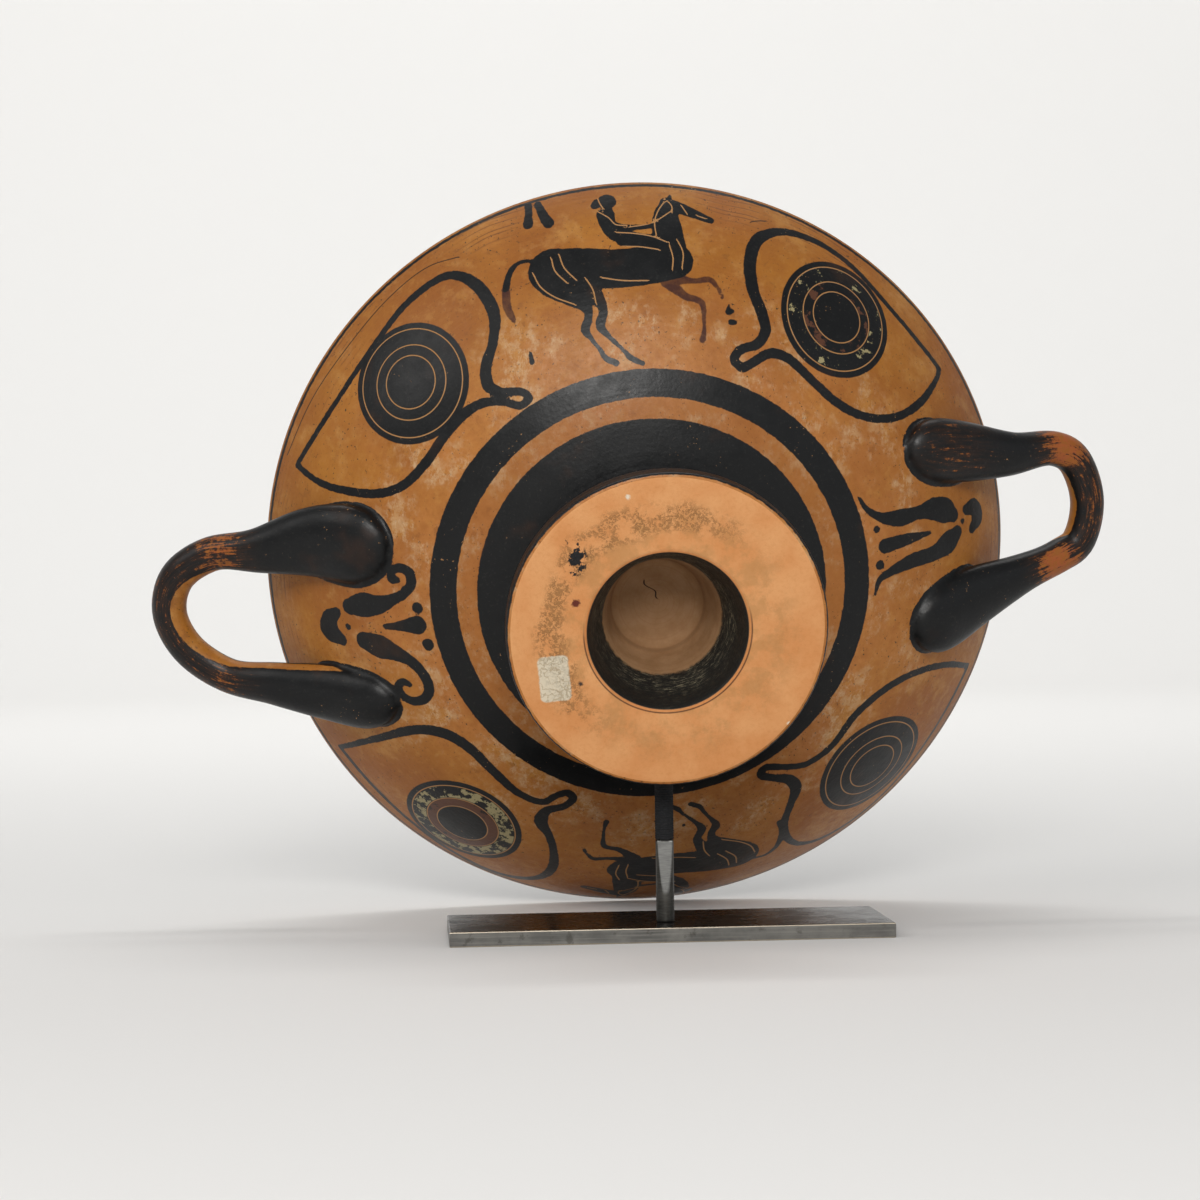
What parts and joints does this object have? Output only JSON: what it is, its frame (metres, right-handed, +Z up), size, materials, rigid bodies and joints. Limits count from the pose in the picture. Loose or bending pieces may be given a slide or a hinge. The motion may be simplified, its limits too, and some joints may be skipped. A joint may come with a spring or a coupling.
{
  "type": "kylix cup on a display stand",
  "caption": "Wide shallow painted clay drinking cup with a stemmed foot and looped handles, tipped on its rim on a small steel stand whose bound fork carries the stem.",
  "frame": {"origin": "middle of the base plate's underside, on the surface that the part stands on", "axes": "+Z up, +X along the base plate, -Y towards the side that the cup's foot faces; the cup's own axis points from foot to rim along +Y, 14.8 degrees above the level"},
  "size_m": [0.3827, 0.1688, 0.2895],
  "materials": {
    "painted_clay": "orange fired clay, burnished to a soft sheen, with glossy black slip in bands and figures; the foot's underside is bare matt clay",
    "plate_steel": "dark polished top, brushed edges",
    "post_steel": "round rod with the front ground flat",
    "black_thread": "close turns of matt black thread"
  },
  "bodies": {
    "root": {"kylix": "painted_clay", "base_plate": "plate_steel", "post": "post_steel", "binding": "black_thread"}
  },
  "joints": []
}
